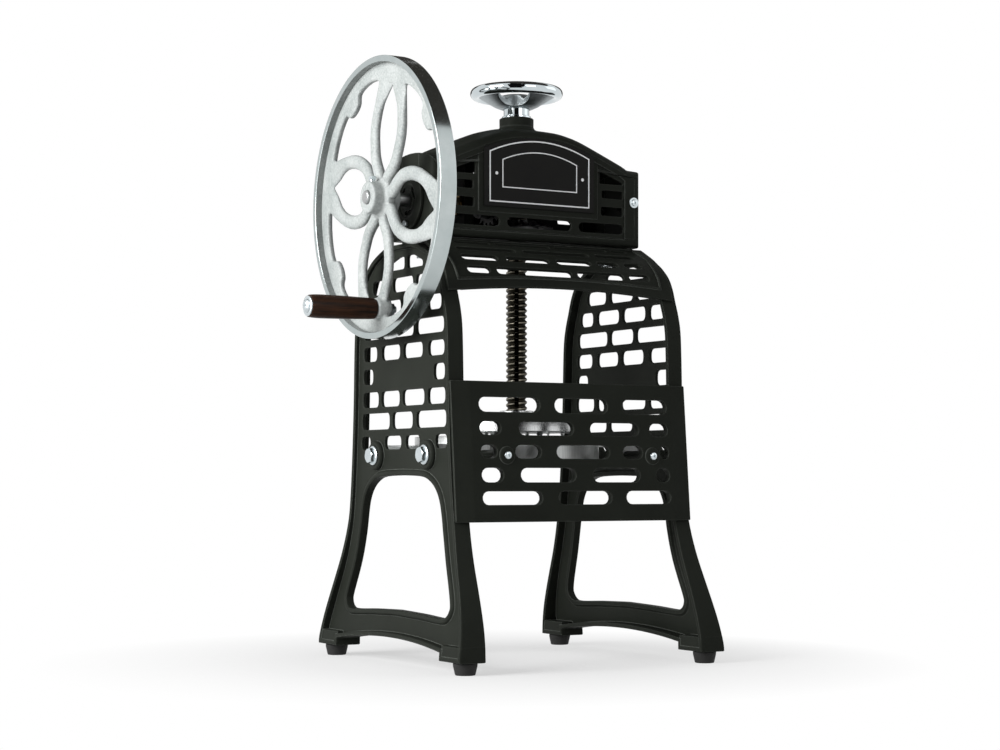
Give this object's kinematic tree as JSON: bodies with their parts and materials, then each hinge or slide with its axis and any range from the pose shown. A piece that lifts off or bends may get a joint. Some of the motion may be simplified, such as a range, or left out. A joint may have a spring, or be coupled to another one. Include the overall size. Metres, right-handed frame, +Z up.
{
  "type": "hand-cranked ice shaver",
  "caption": "Table-top ice shaver: slotted cast frames carry a bevel gear head, a spoked flywheel with a crank grip, and a screw-fed press plate over a round table with a blade.",
  "frame": {"origin": "on the surface that the machine stands on, under the middle of its bounding box", "axes": "+Z up, +Y from the operator's side to the rear, +X from the flywheel to the far side frame, along the crankshaft"},
  "size_m": [0.4503, 0.3512, 0.691],
  "materials": {
    "cast_black": "satin",
    "plate_black": "satin",
    "wheel_paint": "satin",
    "chrome": "polished",
    "steel": "satin",
    "dark_steel": "satin",
    "zinc": "satin",
    "table_metal": "satin",
    "brass": "satin",
    "rubber": "matte",
    "wood": "satin"
  },
  "bodies": {
    "frame": {"side_frame_left": "cast_black", "side_frame_right": "cast_black", "foot_front_left": "rubber", "foot_front_right": "rubber", "foot_rear_left": "rubber", "foot_rear_right": "rubber", "front_panel": "cast_black", "panel_screw_left": "zinc", "panel_screw_right": "zinc", "panel_stay_left": "steel", "panel_stay_right": "steel", "curved_cover": "cast_black", "gear_head": "cast_black", "front_cover": "cast_black", "rear_cover": "cast_black", "front_case_screw_left": "zinc", "front_case_screw_right": "zinc", "rear_case_screw_left": "zinc", "rear_case_screw_right": "zinc", "head_bolt_front_left": "zinc", "head_bolt_front_right": "zinc", "head_bolt_rear_left": "zinc", "head_bolt_rear_right": "zinc", "nameplate": "plate_black", "crank_bearing": "cast_black", "bearing_bolt_upper": "zinc", "bearing_bolt_lower": "zinc", "inner_bush": "brass", "thrust_washer": "brass", "ice_table": "table_metal", "table_bolt_front_left": "zinc", "table_bolt_front_right": "zinc", "table_bolt_rear_left": "zinc", "table_bolt_rear_right": "zinc", "blade": "steel", "blade_clamp": "steel", "clamp_screw_inner": "zinc", "clamp_screw_outer": "zinc"},
    "flywheel": {"flywheel": "wheel_paint", "hub_set_screw": "zinc", "crankshaft": "dark_steel", "shaft_collar": "steel", "bevel_pinion": "steel", "crank_pin": "zinc", "crank_pin_nut": "zinc", "grip_washer": "zinc"},
    "grip": {"crank_grip": "wood"},
    "gear": {"bevel_gear": "steel", "drive_key": "steel"},
    "spindle": {"feed_spindle": "dark_steel", "press_plate": "steel"},
    "handwheel": {"handwheel": "chrome", "feed_nut": "chrome", "nut_retainer": "steel"}
  },
  "joints": [
    {"name": "flywheel_spin", "type": "hinge", "parent": "frame", "child": "flywheel", "pos_m": [-0.1186, 0, 0.531], "axis": [1, 0, 0], "continuous": true},
    {"name": "grip_spin", "type": "hinge", "parent": "flywheel", "child": "grip", "pos_m": [-0.1767, 0, 0.405], "axis": [1, 0, 0], "continuous": true},
    {"name": "gear_spin", "type": "hinge", "parent": "frame", "child": "gear", "pos_m": [0.0504, 0, 0.5], "axis": [0, 0, 1], "continuous": true},
    {"name": "handwheel_turn", "type": "hinge", "parent": "frame", "child": "handwheel", "pos_m": [0.0504, 0, 0.66], "axis": [0, 0, -1], "range_deg": [0, 8000]},
    {"name": "spindle_feed", "type": "slide", "parent": "gear", "child": "spindle", "axis": [0, 0, 1], "range_m": [0, 0.15]}
  ],
  "couplings": [
    {"joint": "gear_spin", "follows": "flywheel_spin", "ratio": -0.625},
    {"joint": "spindle_feed", "follows": "handwheel_turn", "m_per_rad": 0.0010743}
  ]
}
